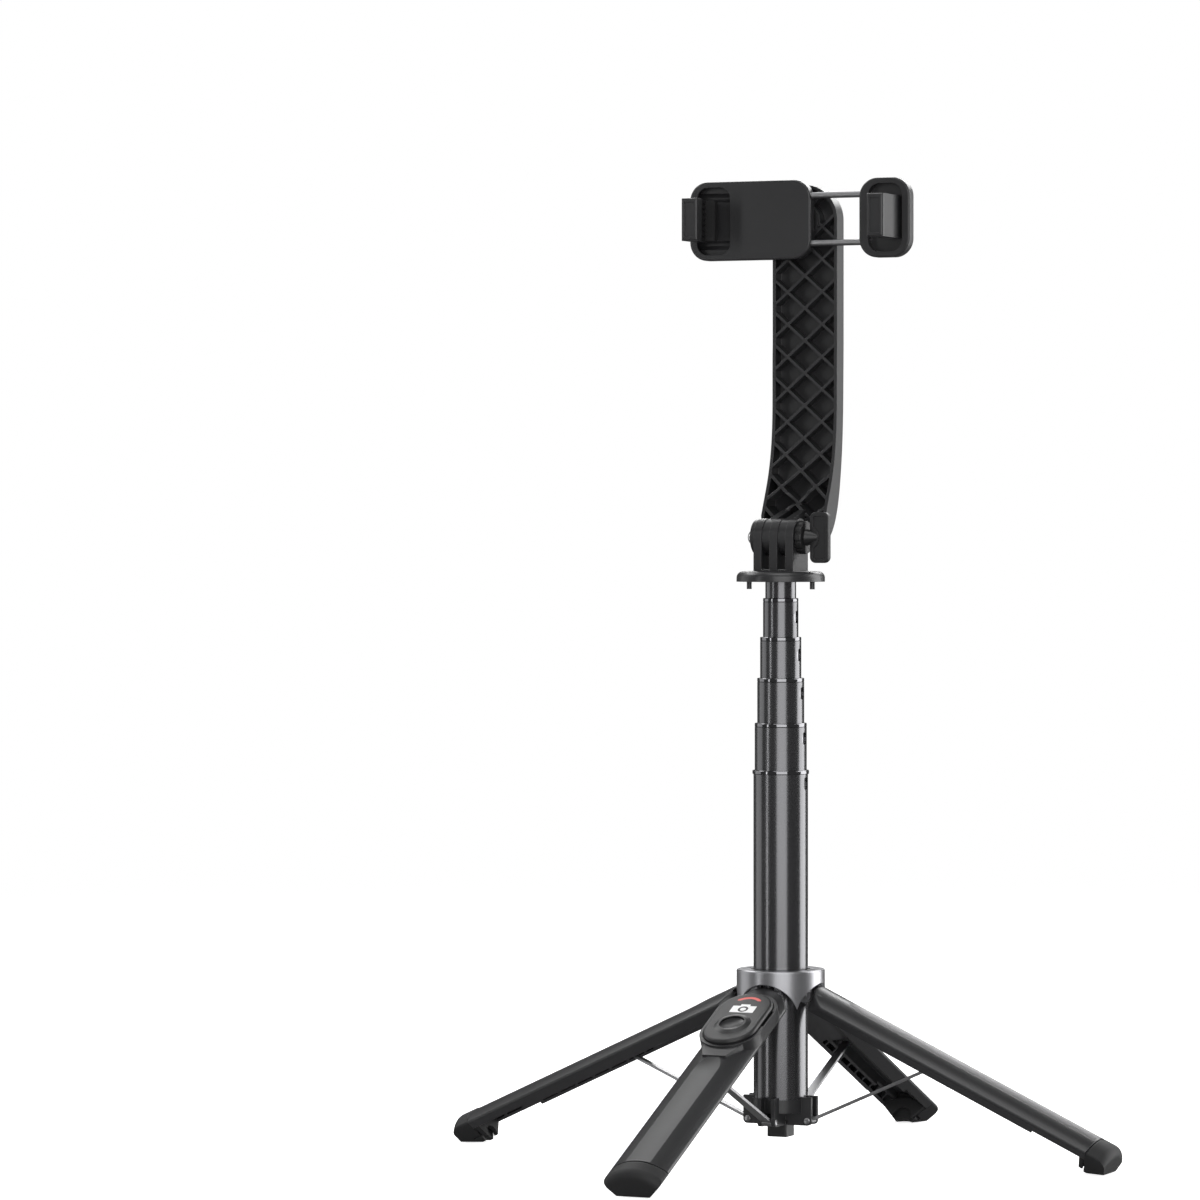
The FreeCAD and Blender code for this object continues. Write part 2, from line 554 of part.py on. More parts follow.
def frame_piece(x0, x1, window):
    """Rounded housing with a front recess round the jaw."""
    half = CLAMP_TALL / 2
    plate = rounded_plate(x0, x1, FRAME_FRONT_Y, FRAME_BACK_Y, half, FRAME_CORNER)
    rounded = [e for e in plate.Edges if e.BoundBox.YMax < FRAME_FRONT_Y + 0.01]
    plate = plate.makeFillet(0.8, rounded)
    hole = rounded_plate(window[0], window[1], FRAME_FRONT_Y - 1, FRAME_BACK_Y - 1.2, half - FRAME_RIM + 1,
                         FRAME_CORNER - 3)
    return cut(plate, hole)


def rod_holes(radius, x0, x1):
    return [rod(radius, V(x0, FRAME_FRONT_Y + 2.2, SWIVEL_Z + k * ROD_Z), X, x1 - x0) for k in (-1, 1)]


def clamp_housing():
    body = frame_piece(-CLAMP_HALF, HOUSING_X, (-44.4, -30.0))
    block = box(-29, HOUSING_X - 2, FRAME_FRONT_Y + 0.9, FRAME_BACK_Y - 0.9, SWIVEL_Z - 6, SWIVEL_Z + 6)
    body = cut(fuse(body, jaw(-1)), cut(block, rod(5.0, V(0, 0, SWIVEL_Z), Y, 40)))
    # wells in which the rods and their springs run
    wells = rod_holes(2.0, -46.4, HOUSING_X - 3)
    return cut(body, *wells, *rod_holes(ROD_R + PIN_GAP, -40, 20),
               rod(SWIVEL_R, V(0, FRAME_BACK_Y - 1.5, SWIVEL_Z), Y, 10))


def clamp_cover():
    """Thin plate that closes the housing's back."""
    plate = rounded_plate(-CLAMP_HALF + 1.2, HOUSING_X - 1.2, FRAME_BACK_Y, COVER_BACK_Y, CLAMP_TALL / 2 - 1.2,
                          FRAME_CORNER - 1.2)
    return cut(plate, rod(SWIVEL_R, V(0, 0, SWIVEL_Z), Y, 40), *screw_shapes(1.0, 10))


def screw_shapes(radius, length):
    places = [(-43.5, -10.5), (-43.5, 10.5), (-24.0, -12.6), (-24.0, 12.6)]
    return [rod(radius, V(x, COVER_BACK_Y - length, SWIVEL_Z + z), Y, length) for x, z in places]


def clamp_screws():
    heads = []
    for shank in screw_shapes(1.0, COVER_BACK_Y - FRAME_BACK_Y):
        centre = shank.CenterOfMass
        head = rod(1.9, V(centre.x, COVER_BACK_Y, centre.z), Y, 0.8)
        cross = [box(-1.2, 1.2, -0.25, 0.25, -0.3, 0.3), box(-0.3, 0.3, -0.25, 0.25, -1.2, 1.2)]
        for slot in cross:
            slot.translate(V(centre.x, COVER_BACK_Y + 0.7, centre.z))
        heads.append(cut(fuse(shank, head), *cross))
    return Part.makeCompound(heads)


def clamp_slider():
    body = frame_piece(SLIDER_X, CLAMP_HALF, (30.0, 44.4))
    return cut(fuse(body, jaw(1)), *rod_holes(ROD_R, SLIDER_X - 1, ROD_TO))


def guide_rods():
    """Two steel rods fixed in the slider, each with a stop at its inner end."""
    made = []
    for k in (-1, 1):
        at = V(ROD_FROM, FRAME_FRONT_Y + 2.2, SWIVEL_Z + k * ROD_Z)
        made.append(fuse(rod(ROD_R, at, X, ROD_TO - ROD_FROM), rod(1.85, at, X, 1.2)))
    return Part.makeCompound(made)


def clamp_springs():
    """The two springs on the rods, each as a plain sleeve of its outer size."""
    made = []
    for k in (-1, 1):
        start = V(ROD_FROM + 1.3, FRAME_FRONT_Y + 2.2, SWIVEL_Z + k * ROD_Z)
        length = HOUSING_X - 3.1 - start.x
        made.append(cut(rod(1.85, start, X, length), rod(ROD_R + 0.1, start, X, length)))
    return Part.makeCompound(made)


def jaw_pad(side):
    """Rubber lining of a jaw, open towards the phone."""
    half = JAW_TALL / 2 - 0.4

    def span(x0, x1, y0, y1, h=half):
        low, high = sorted((side * x0, side * x1))
        return box(low, high, y0, y1, SWIVEL_Z - h, SWIVEL_Z + h)

    body = fuse(span(PHONE_X, 40.2, LIP_BACK_Y, 16.6), span(JAW_TIP_X + 0.4, 40.2, LIP_BACK_Y, PHONE_FRONT_Y),
                span(JAW_TIP_X - 1.4, 40.2, PHONE_BACK_Y, 16.6))
    grooves = []
    for k in range(-3, 4):
        groove = span(PHONE_X - 0.1, PHONE_X + 0.4, PHONE_FRONT_Y, PHONE_BACK_Y, 0.4)
        groove.translate(V(0, 0, 2.2 * k))
        grooves.append(groove)
    return cut(body, *grooves)


def on_remote(shape):
    return open_leg(shape, "front")


def remote_base():
    tray = stadium(REMOTE_HALF_T, REMOTE_HALF_S, REMOTE_S, REMOTE_SEAT + 0.05, REMOTE_SPLIT)
    inside = stadium(REMOTE_HALF_T - 1.3, REMOTE_HALF_S - 1.3, REMOTE_S, REMOTE_SEAT + 1.0, REMOTE_SPLIT + 1)
    return on_remote(cut(tray, inside))


def arc_mark(low, high):
    """Short curved bar above the camera mark."""
    centre_s = REMOTE_S - 8.6
    outer = rod(6.5, V(low, 0, -centre_s), X, high - low)
    outer = cut(outer, rod(5.1, V(low - 1, 0, -centre_s), X, high - low + 2))
    return outer.common(box(low, high, -4.9, 4.9, -centre_s + 3.6, -centre_s + 8))


def camera_mark(low, high):
    """Small outline of a camera, drawn as a body with a hump and a round lens."""
    s = REMOTE_S - 6.2
    body = fuse(box(low, high, -5.0, 5.0, -s - 3.0, -s + 2.0), box(low, high, -2.0, 2.0, -s + 1.9, -s + 3.2))
    eye = cut(rod(2.1, V(low - 1, 0, -s - 0.5), X, 6), rod(1.2, V(low - 2, 0, -s - 0.5), X, 8))
    return cut(body, eye)


def remote_top():
    shell = stadium(REMOTE_HALF_T, REMOTE_HALF_S, REMOTE_S, REMOTE_SPLIT, REMOTE_FACE)
    rim_edges = [e for e in shell.Edges if abs(e.BoundBox.XMin - REMOTE_FACE) < 0.01]
    shell = shell.makeFillet(1.3, rim_edges)
    inside = stadium(REMOTE_HALF_T - 1.3, REMOTE_HALF_S - 1.3, REMOTE_S, REMOTE_SPLIT - 1, REMOTE_FACE - 1.2)
    mound = Part.makeCone(7.4, BUTTON_R + 0.7, 0.7, V(REMOTE_FACE, 0, -BUTTON_S), X)
    return on_remote(cut(fuse(shell, mound), inside, rod(BUTTON_R + 0.1, V(15, 0, -BUTTON_S), X, 10),
                         arc_mark(REMOTE_FACE - 0.4, REMOTE_FACE + 1),
                         camera_mark(REMOTE_FACE - 0.4, REMOTE_FACE + 1)))


def remote_button():
    cap = rod(BUTTON_R, V(REMOTE_FACE - 2.0, 0, -BUTTON_S), X, 1.9)
    dish = Part.makeSphere(18.0, V(REMOTE_FACE - 0.1 + 17.3, 0, -BUTTON_S))
    return on_remote(cut(cap, dish))


def circuit_board():
    plate = stadium(REMOTE_HALF_T - 1.6, REMOTE_HALF_S - 1.6, REMOTE_S, 16.2, 16.9)
    return on_remote(plate)


def button_cell():
    return on_remote(rod(6.0, V(16.95, 0, -REMOTE_S + 8), X, 1.6))


def build():
    nodes["main_tube"] = main_tube()
    nodes["tube_rim"] = rim(RIM_R, SECTIONS[2][0] + SLIDE_GAP, RIM_TOP, 0, 0)
    nodes["strut_collar"] = strut_collar()
    nodes["base_plug"] = base_plug()
    nodes["collar_pins"] = collar_pins()
    nodes["hub"] = hub()
    nodes["hub_liner"] = hub_liner()
    nodes["hub_pins"] = hub_pins()
    for side in ANGLES:
        nodes["leg_" + side] = open_leg(leg_shell(side), side)
        nodes["foot_" + side] = foot(side)
        nodes["strut_" + side] = strut(side)
        nodes["strut_pin_" + side] = strut_pin(side)
    for i in SECTIONS:
        nodes[f"section_{i}"] = section(i)
        nodes[f"glide_{i}"] = section_glide(i)
        if i < 6:
            nodes[f"rim_{i}"] = section_rim(i)
    nodes["head_fork"] = head_fork()
    nodes["cap_nut"] = cap_nut()
    nodes["hinge_bolt"] = hinge_bolt()
    nodes["thumb_knob"] = thumb_knob()
    nodes["arm"] = arm()
    nodes["swivel_pin"] = swivel_pin()
    nodes["clamp_housing"] = clamp_housing()
    nodes["clamp_cover"] = clamp_cover()
    nodes["clamp_screws"] = clamp_screws()
    nodes["clamp_slider"] = clamp_slider()
    nodes["guide_rods"] = guide_rods()
    nodes["clamp_springs"] = clamp_springs()
    nodes["pad_left"] = jaw_pad(-1)
    nodes["pad_right"] = jaw_pad(1)
    nodes["remote_base"] = remote_base()
    nodes["remote_top"] = remote_top()
    nodes["remote_button"] = remote_button()
    nodes["remote_arc"] = on_remote(arc_mark(REMOTE_FACE - 0.4, REMOTE_FACE))
    nodes["remote_icon"] = on_remote(camera_mark(REMOTE_FACE - 0.4, REMOTE_FACE))
    nodes["circuit_board"] = circuit_board()
    nodes["button_cell"] = button_cell()


os.makedirs("parts", exist_ok=True)
build()
for name, shape in nodes.items():
    valid = shape.isValid()
    print(f"{name:16s} solids {len(shape.Solids)} volume {shape.Volume:9.1f} valid {valid}")
    shape.exportStep(f"parts/{name}.step")
print(len(nodes), "nodes")
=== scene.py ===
"""Selfie stick: telescopic handle, four fold-out legs, sprung phone clamp and lift-off remote.

Metres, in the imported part's own frame: +Z up, the origin on the ground under the handle's axis,
and the leg that carries the remote pointing along -Y.
"""

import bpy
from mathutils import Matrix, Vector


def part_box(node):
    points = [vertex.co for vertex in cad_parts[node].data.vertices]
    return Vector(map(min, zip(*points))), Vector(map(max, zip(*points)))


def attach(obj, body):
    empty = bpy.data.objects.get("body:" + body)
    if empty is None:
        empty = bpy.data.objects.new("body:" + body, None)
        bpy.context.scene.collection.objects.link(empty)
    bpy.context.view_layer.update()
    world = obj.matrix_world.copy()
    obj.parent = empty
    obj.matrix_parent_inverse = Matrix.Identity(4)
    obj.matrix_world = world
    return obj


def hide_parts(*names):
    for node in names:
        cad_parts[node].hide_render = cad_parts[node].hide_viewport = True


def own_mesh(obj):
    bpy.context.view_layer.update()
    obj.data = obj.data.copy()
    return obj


bl_info = {
    "name": "Selfie stick",
    "version": (1, 0, 0),
    "blender": (4, 5, 0),
    "location": "3D View > Sidebar > Selfie stick",
    "description": "Finishes, small hardware and studio for the telescopic stick with four legs",
    "category": "Object",
}

import math

import bmesh
import bpy
from mathutils import Matrix, Vector

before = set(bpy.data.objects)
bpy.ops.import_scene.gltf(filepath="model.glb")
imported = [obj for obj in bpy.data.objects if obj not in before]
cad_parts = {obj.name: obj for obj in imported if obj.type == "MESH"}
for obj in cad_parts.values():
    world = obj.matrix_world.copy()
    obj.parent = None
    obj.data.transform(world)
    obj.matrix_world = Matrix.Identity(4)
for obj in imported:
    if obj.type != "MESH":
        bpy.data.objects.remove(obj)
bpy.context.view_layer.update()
MM = 0.001
SIDES = {"right": 0, "back": 90, "left": 180, "front": 270}
PIN_CIRCLE = 12.8 * MM          # hinge pins, from the handle's axis
HUB_PIN_END = 6.6 * MM          # ends of the hub's pins, from the middle of each pin
COLLAR_PIN_END = 3.7 * MM       # ends of the collar's pins, likewise

# Softboxes: degrees round the handle from straight in front, distance, height, width, tallness
# and power
SOFTBOXES = {
    "rim_box": (132, 1.25, 0.35, 0.85, 1.7, 18.0),
    "front_box": (28, 1.9, 0.6, 1.6, 1.6, 21.0),
    "edge_strip": (-36, 1.4, 0.35, 0.12, 1.6, 2.6),
    "left_box": (-85, 1.6, 0.4, 1.1, 1.4, 4.5),
    "top_box": (20, 0.5, 1.9, 1.2, 1.2, 12.0),
    "back_box": (192, 1.5, 1.05, 1.5, 0.4, 12.0),
    "back_high_box": (222, 1.0, 1.45, 0.6, 0.4, 1.7),
    "left_high_box": (-99, 1.2, 1.35, 0.9, 0.35, 7.0),
}
AIM_HEIGHT = 0.2                # where the softboxes point, on the handle's axis
FLOOR_RADIUS, FLOOR_SINK = 3.0, 0.0004
FADE_START, FADE_END = 0.25, 1.6
CAMERA_SHIFT = (-0.1506, -0.0642)


# ---------------------------------------------------------------- shader expressions

class Wire:
    """A shader socket that can be used in Python expressions: numbers go through Math nodes."""

    def __init__(self, tree, socket=None):
        self.tree = tree
        self.socket = socket

    def node(self, kind, settings=None, values=None, output=0):
        """Adds one node: its settings are set first, then the values or links of its sockets."""
        made = self.tree.nodes.new(kind)
        for name, value in (settings or {}).items():
            if name == "stops":
                ramp = made.color_ramp.elements
                ramp[0].position = value[0][0]
                ramp[1].position = value[-1][0]
                for place, _ in value[1:-1]:
                    ramp.new(place)
                for stop, (_, colour) in zip(ramp, value):
                    stop.color = colour
            else:
                setattr(made, name, value)
        for name, value in (values or {}).items():
            if isinstance(value, Wire):
                self.tree.links.new(value.socket, made.inputs[name])
            else:
                made.inputs[name].default_value = value
        return Wire(self.tree, made.outputs[output] if made.outputs else None)

    def math(self, operation, first, second=0.0):
        settings = {"operation": operation}
        return self.node("ShaderNodeMath", settings, {0: first, 1: second})

    def __add__(self, other):
        return self.math("ADD", self, other)

    def __radd__(self, other):
        return self.math("ADD", other, self)

    def __sub__(self, other):
        return self.math("SUBTRACT", self, other)

    def __rsub__(self, other):
        return self.math("SUBTRACT", other, self)

    def __mul__(self, other):
        return self.math("MULTIPLY", self, other)

    def __rmul__(self, other):
        return self.math("MULTIPLY", other, self)

    def dot(self, other):
        settings = {"operation": "DOT_PRODUCT"}
        return self.node("ShaderNodeVectorMath", settings, {0: self, 1: other}, "Value")

    def scaled(self, sizes):
        """A vector with each of its parts multiplied."""
        settings = {"operation": "MULTIPLY"}
        return self.node("ShaderNodeVectorMath", settings, {0: self, 1: sizes}, "Vector")

    def tint(self, low, high):
        """A colour between two colours, by this number."""
        values = {0: self, 6: low, 7: high}
        return self.node("ShaderNodeMix", {"data_type": "RGBA"}, values, 2)

    def noise(self, scale, detail=2.0):
        values = {"Vector": self, "Scale": scale, "Detail": detail}
        return self.node("ShaderNodeTexNoise", None, values, "Fac")


def shade(colour, share):
    """A colour made darker or lighter, with full alpha."""
    return (colour[0] * share, colour[1] * share, colour[2] * share, 1.0)


def blank(name):
    """A new material with an empty node tree, and the wire that starts its expressions."""
    material = bpy.data.materials.new(name)
    material.use_nodes = True
    material.node_tree.nodes.clear()
    return material, Wire(material.node_tree)


def close(sheet, values):
    """Ends a material with its surface shader."""
    surface = sheet.node("ShaderNodeBsdfPrincipled", None, values, "BSDF")
    sheet.node("ShaderNodeOutputMaterial", None, {"Surface": surface})


# ---------------------------------------------------------------- finishes

def moulded(name, colour, roughness, grain, pitch, edge, edge_highlight_strength, coat=0.0):
    """Injection-moulded plastic: fine spark-eroded grain, soft edges, and a painted highlight that
    makes the colour lighter along every edge.
    """
    material, sheet = blank(name)
    place = sheet.node("ShaderNodeTexCoord", output="Object")
    cloud = place.noise(38.0, 3.0)
    scuffs_and_highlight_noise = place.noise(420.0, 4.0)
    spark = place.noise(pitch, 1.0)
    rounded = sheet.node("ShaderNodeBevel", {"samples": 4}, {"Radius": edge}, "Normal")
    flat = sheet.node("ShaderNodeNewGeometry", output="Normal")
    # how far the bevel's rounded normal turns from the flat one marks the edges, where the colour
    # gets a painted highlight
    painted_edge_highlight = sheet.node("ShaderNodeMath", {"operation": "MULTIPLY", "use_clamp": True},
                     {0: 1.0 - rounded.dot(flat), 1: edge_highlight_strength})
    body = cloud.tint(shade(colour, 0.82), shade(colour, 1.18))
    # painted highlight: the edges' colour is lifted towards 2.6 times the base colour, broken up by
    # the noise, which also varies the roughness
    body = (painted_edge_highlight * (0.55 + scuffs_and_highlight_noise * 0.6)).tint(body, shade(colour, 2.6))
    rough = (roughness - 0.07) + cloud * 0.08 + scuffs_and_highlight_noise * 0.06
    bumped = sheet.node("ShaderNodeBump", None,
                        {"Strength": 0.6, "Distance": grain, "Height": spark, "Normal": rounded},
                        "Normal")
    close(sheet, {"Base Color": body, "Roughness": rough, "Normal": bumped,
                  "IOR": 1.5, "Coat Weight": coat, "Coat Roughness": 0.18})
    return material


def drawn_tube(name, colour, roughness):
    """Anodised aluminium tube, with faint draw lines along its length."""
    material, sheet = blank(name)
    place = sheet.node("ShaderNodeTexCoord", output="Object")
    lines = place.scaled((1.0, 1.0, 0.012)).noise(2300.0, 3.0)
    cloud = place.noise(30.0, 2.0)
    body = (lines * 0.5 + cloud * 0.5).tint(shade(colour, 0.85), shade(colour, 1.15))
    rough = (roughness - 0.06) + lines * 0.08 + cloud * 0.04
    bumped = sheet.node("ShaderNodeBump", None,
                        {"Strength": 0.35, "Distance": 3e-6, "Height": lines}, "Normal")
    close(sheet, {"Base Color": body, "Metallic": 0.92, "Roughness": rough, "Normal": bumped,
                  "Coat Weight": 0.25, "Coat Roughness": 0.12})
    return material


def brushed_bar(name, colour, roughness):
    """Stamped steel strip, brushed along its length in any of the four legs' planes."""
    material, sheet = blank(name)
    place = sheet.node("ShaderNodeTexCoord", output="Object")
    split = sheet.node("ShaderNodeSeparateXYZ", None, {"Vector": place}, "X")
    x = sheet.math("ABSOLUTE", split)
    y = sheet.math("ABSOLUTE", Wire(sheet.tree, split.socket.node.outputs["Y"]))
    z = Wire(sheet.tree, split.socket.node.outputs["Z"])
    across = sheet.math("MINIMUM", x, y)
    along = sheet.math("MAXIMUM", x, y) * 0.9 + z * 0.4
    run = sheet.node("ShaderNodeCombineXYZ", None, {"X": across, "Y": along * 0.015})
    lines = run.noise(5200.0, 3.0)
    cloud = place.noise(120.0, 3.0)
    body = (lines * 0.7 + cloud * 0.3).tint(shade(colour, 0.72), shade(colour, 1.2))
    rough = (roughness - 0.1) + lines * 0.16 + cloud * 0.08
    rounded = sheet.node("ShaderNodeBevel", {"samples": 4}, {"Radius": 0.00012}, "Normal")
    bumped = sheet.node("ShaderNodeBump", None,
                        {"Strength": 0.4, "Distance": 4e-6, "Height": lines, "Normal": rounded},
                        "Normal")
    close(sheet, {"Base Color": body, "Metallic": 1.0, "Roughness": rough, "Normal": bumped})
    return material


def turned_metal(name, colour, roughness):
    """Plain plated metal for pins, rods and the nut, with light handling marks."""
    material, sheet = blank(name)
    place = sheet.node("ShaderNodeTexCoord", output="Object")
    cloud = place.noise(260.0, 4.0)
    body = cloud.tint(shade(colour, 0.85), shade(colour, 1.08))
    rounded = sheet.node("ShaderNodeBevel", {"samples": 4}, {"Radius": 0.00015}, "Normal")
    close(sheet, {"Base Color": body, "Metallic": 1.0, "Normal": rounded,
                  "Roughness": (roughness - 0.03) + cloud * 0.08})
    return material


def rubber(name, colour, roughness):
    """Soft black rubber, matte, with a pebbled skin and dust in its grain."""
    material, sheet = blank(name)
    place = sheet.node("ShaderNodeTexCoord", output="Object")
    cloud = place.noise(60.0, 4.0)
    pebbles = sheet.node("ShaderNodeTexVoronoi", None,
                         {"Vector": place, "Scale": 1900.0}, "Distance")
    body = (cloud * 0.7 + pebbles * 0.3).tint(shade(colour, 0.7), shade(colour, 1.5))
    rounded = sheet.node("ShaderNodeBevel", {"samples": 4}, {"Radius": 0.0004}, "Normal")
    bumped = sheet.node("ShaderNodeBump", None,
                        {"Strength": 0.5, "Distance": 2e-5, "Height": pebbles, "Normal": rounded},
                        "Normal")
    close(sheet, {"Base Color": body, "Roughness": (roughness - 0.08) + cloud * 0.16,
                  "Normal": bumped, "IOR": 1.45})
    return material


def printed(name, colour, roughness):
    """Pad-printed ink: even colour with a slightly mottled edge to its gloss."""
    material, sheet = blank(name)
    place = sheet.node("ShaderNodeTexCoord", output="Object")
    cloud = place.noise(700.0, 3.0)
    body = cloud.tint(shade(colour, 0.93), shade(colour, 1.04))
    close(sheet, {"Base Color": body, "Roughness": (roughness - 0.05) + cloud * 0.1})
    return material


def finishes():
    """Every finish, by the material slot that it belongs to; the hub's own finish is satin metal."""
    looks = bpy.context.scene.stick_looks
    shell = tuple(looks.shell_colour)
    dark = tuple(looks.dark_colour)
    tube = tuple(looks.tube_colour)
    steel = tuple(looks.steel_colour)
    return {
        "tube_anodised": drawn_tube("tube_finish", tube, looks.tube_roughness),
        "rim_black": turned_metal("rim_finish", shade(tube, 1.7), 0.09),
        "hub": drawn_tube("hub_finish", shade(tube, 3.0), 0.34),
        # the sixth number of each moulded finish is how strongly its edges are painted lighter, a
        # painted highlight
        "shell_plastic": moulded("shell_finish", shell, looks.shell_roughness, 1.6e-5, 3400.0,
                                 0.0004, 1.5, 0.12),
        "dark_plastic": moulded("dark_finish", dark, 0.4, 1.6e-5, 3400.0, 0.0003, 1.4),
        "foot_rubber": rubber("foot_finish", shade(dark, 1.0), 0.6),
        "pad_rubber": rubber("pad_finish", shade(dark, 0.7), 0.72),
        "bright_steel": brushed_bar("strut_finish", steel, 0.34),
        "pin_steel": turned_metal("pin_finish", shade(steel, 0.85), 0.3),
        "nut_chrome": turned_metal("nut_finish", (0.93, 0.93, 0.94), 0.06),
        "remote_gloss": moulded("remote_finish", shade(dark, 1.0), 0.42, 8e-6, 4200.0,
                                0.0003, 1.2),
        "button_satin": moulded("button_finish", shade(shell, 0.9), 0.34, 8e-6, 3800.0,
                                0.0003, 1.2, 0.2),
        "mark_red": printed("red_ink", tuple(looks.red_colour), 0.35),
        "mark_white": printed("white_ink", (0.86, 0.86, 0.86), 0.4),
        "board_green": printed("board_lacquer", (0.02, 0.16, 0.07), 0.3),
        "liner_nylon": moulded("nylon_finish", (0.5, 0.49, 0.45), 0.42, 1e-5, 2600.0,
                               0.0002, 0.4),
    }


FINISH = {}


def dress(*names):
    """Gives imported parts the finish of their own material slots."""
    for name in names:
        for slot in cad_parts[name].material_slots:
            slot.material = FINISH[slot.material.name.split(".")[0]]


# ---------------------------------------------------------------- small hardware

def new_piece(name, mesh, body, slot_name):
    """Puts a mesh in the scene with its finish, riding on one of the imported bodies."""
    piece = bpy.data.objects.new(name, mesh)
    bpy.context.scene.collection.objects.link(piece)
    mesh.materials.clear()
    mesh.materials.append(FINISH[slot_name])
    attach(piece, body)
    return piece


def lathe(profile, places, steps=28):
    """One mesh with a turned shape at each place; the profile is (radius, height) from the base."""
    shape = bmesh.new()
    for place in places:
        rows = []
        for radius, height in profile:
            row = []
            for k in range(steps):
                turn = 2 * math.pi * k / steps
                spot = Vector((radius * math.cos(turn), radius * math.sin(turn), height))
                row.append(shape.verts.new(place @ spot))
            rows.append(row)
        for low, high in zip(rows, rows[1:]):
            for k in range(steps):
                after = (k + 1) % steps
                shape.faces.new((low[k], low[after], high[after], high[k]))
        shape.faces.new(list(reversed(rows[0])))
        shape.faces.new(rows[-1])
    bmesh.ops.recalc_face_normals(shape, faces=shape.faces)
    mesh = bpy.data.meshes.new("turned")
    shape.to_mesh(mesh)
    shape.free()
    for face in mesh.polygons:
        face.use_smooth = True
    return mesh


def rivet_places(radius, height, out):
    """Both ends of a cross pin on each of the four sides, facing away from the pin's middle."""
    places = []
    for angle in SIDES.values():
        turn = Matrix.Rotation(math.radians(angle), 4, "Z")
        for way in (-1, 1):
            face = Matrix.Rotation(math.radians(-90 * way), 4, "X")
            places.append(turn @ Matrix.Translation((radius, way * out, height)) @ face)
    return places


def rivet_profile(radius, rise):
    """A domed head, with a short skirt under it."""
    rows = [(radius, -0.1 * MM), (radius, rise * 0.25)]
    for k in range(1, 6):
        bend = math.pi / 2 * k / 6
        rows.append((radius * math.cos(bend), rise * (0.25 + 0.75 * math.sin(bend))))
    return rows


def coil(name, start, length, turns, radius, wire):
    """A compression spring along X, closed and ground flat at both ends."""
    curve = bpy.data.curves.new(name, "CURVE")
    curve.dimensions = "3D"
    curve.bevel_depth = wire / 2
    curve.bevel_resolution = 4
    curve.use_fill_caps = True
    line = curve.splines.new("NURBS")
    steps = 20 * turns
    line.points.add(steps)
    for k, point in enumerate(line.points):
        share = k / steps
        closed = 0.5 - 0.5 * math.cos(math.pi * share)
        run = wire / 2 + (length - wire) * (0.25 * closed + 0.75 * share)
        turn = 2 * math.pi * turns * share
        side = (start[1] + radius * math.cos(turn), start[2] + radius * math.sin(turn))
        point.co = (start[0] + run, side[0], side[1], 1.0)
    line.order_u = 4
    line.use_endpoint_u = True
    maker = bpy.data.objects.new(name, curve)
    mesh = bpy.data.meshes.new_from_object(maker)
    bpy.data.objects.remove(maker)
    for face in mesh.polygons:
        face.use_smooth = True
    return mesh


# ---------------------------------------------------------------- settings

class StickLooks(bpy.types.PropertyGroup):
    """Colours and gloss of the stick."""

    shell_colour: bpy.props.FloatVectorProperty(
        name="Shell colour", description="Moulded legs, hub, head and arm",
        default=(0.014, 0.014, 0.015), size=3, subtype="COLOR", min=0.0, max=1.0)
    dark_colour: bpy.props.FloatVectorProperty(
        name="Dark colour", description="Collar, plug, clamp and knob",
        default=(0.008, 0.008, 0.0085), size=3, subtype="COLOR", min=0.0, max=1.0)
    tube_colour: bpy.props.FloatVectorProperty(
        name="Tube colour", description="Anodised telescopic tubes",
        default=(0.115, 0.115, 0.12), size=3, subtype="COLOR", min=0.0, max=1.0)
    steel_colour: bpy.props.FloatVectorProperty(
        name="Steel colour", description="Struts and pins",
        default=(0.46, 0.46, 0.47), size=3, subtype="COLOR", min=0.0, max=1.0)
    red_colour: bpy.props.FloatVectorProperty(
        name="Red mark", description="Arc printed on the remote",
        default=(0.72, 0.10, 0.08), size=3, subtype="COLOR", min=0.0, max=1.0)
    tube_roughness: bpy.props.FloatProperty(
        name="Tube roughness", description="How dull the tubes are",
        default=0.22, min=0.02, max=1.0, subtype="FACTOR")
    shell_roughness: bpy.props.FloatProperty(
        name="Shell roughness", description="How dull the moulded shell is",
        default=0.36, min=0.02, max=1.0, subtype="FACTOR")


class StickHardware(bpy.types.PropertyGroup):
    """Sizes of the small hardware."""

    rivet_radius: bpy.props.FloatProperty(
        name="Rivet radius", description="Heads of the cross pins",
        default=1.3 * MM, min=0.9 * MM, max=2.0 * MM, subtype="DISTANCE", unit="LENGTH")
    rivet_rise: bpy.props.FloatProperty(
        name="Rivet height", description="How far the heads stand off",
        default=0.3 * MM, min=0.1 * MM, max=0.4 * MM, subtype="DISTANCE", unit="LENGTH")
    spring_wire: bpy.props.FloatProperty(
        name="Spring wire", description="Thickness of the clamp springs' wire",
        default=0.45 * MM, min=0.2 * MM, max=0.6 * MM, subtype="DISTANCE", unit="LENGTH")
    spring_turns: bpy.props.IntProperty(
        name="Spring turns", description="Turns in each clamp spring",
        default=14, min=4, max=30)


class StickStudio(bpy.types.PropertyGroup):
    """Floor, light and camera."""

    camera_distance: bpy.props.FloatProperty(
        name="Camera distance", description="From the handle's axis, along the ground",
        default=2.098, min=0.5, max=10.0, subtype="DISTANCE", unit="LENGTH")
    camera_turn: bpy.props.FloatProperty(
        name="Camera turn", description="Round the handle, from straight in front",
        default=math.radians(23.43), subtype="ANGLE", unit="ROTATION")
    camera_height: bpy.props.FloatProperty(
        name="Camera height", description="Above the ground",
        default=0.2506, min=0.0, max=5.0, subtype="DISTANCE", unit="LENGTH")
    camera_lens: bpy.props.FloatProperty(
        name="Lens", description="Focal length on a 36 mm wide sensor",
        default=159.06, min=10.0, max=500.0)
    fill: bpy.props.FloatProperty(
        name="Fill light", description="Brightness of the even light from all round",
        default=0.12, min=0.0, max=5.0)
    key: bpy.props.FloatProperty(
        name="Key light", description="Brightness of the softboxes",
        default=1.0, min=0.0, max=20.0)


# ---------------------------------------------------------------- operators

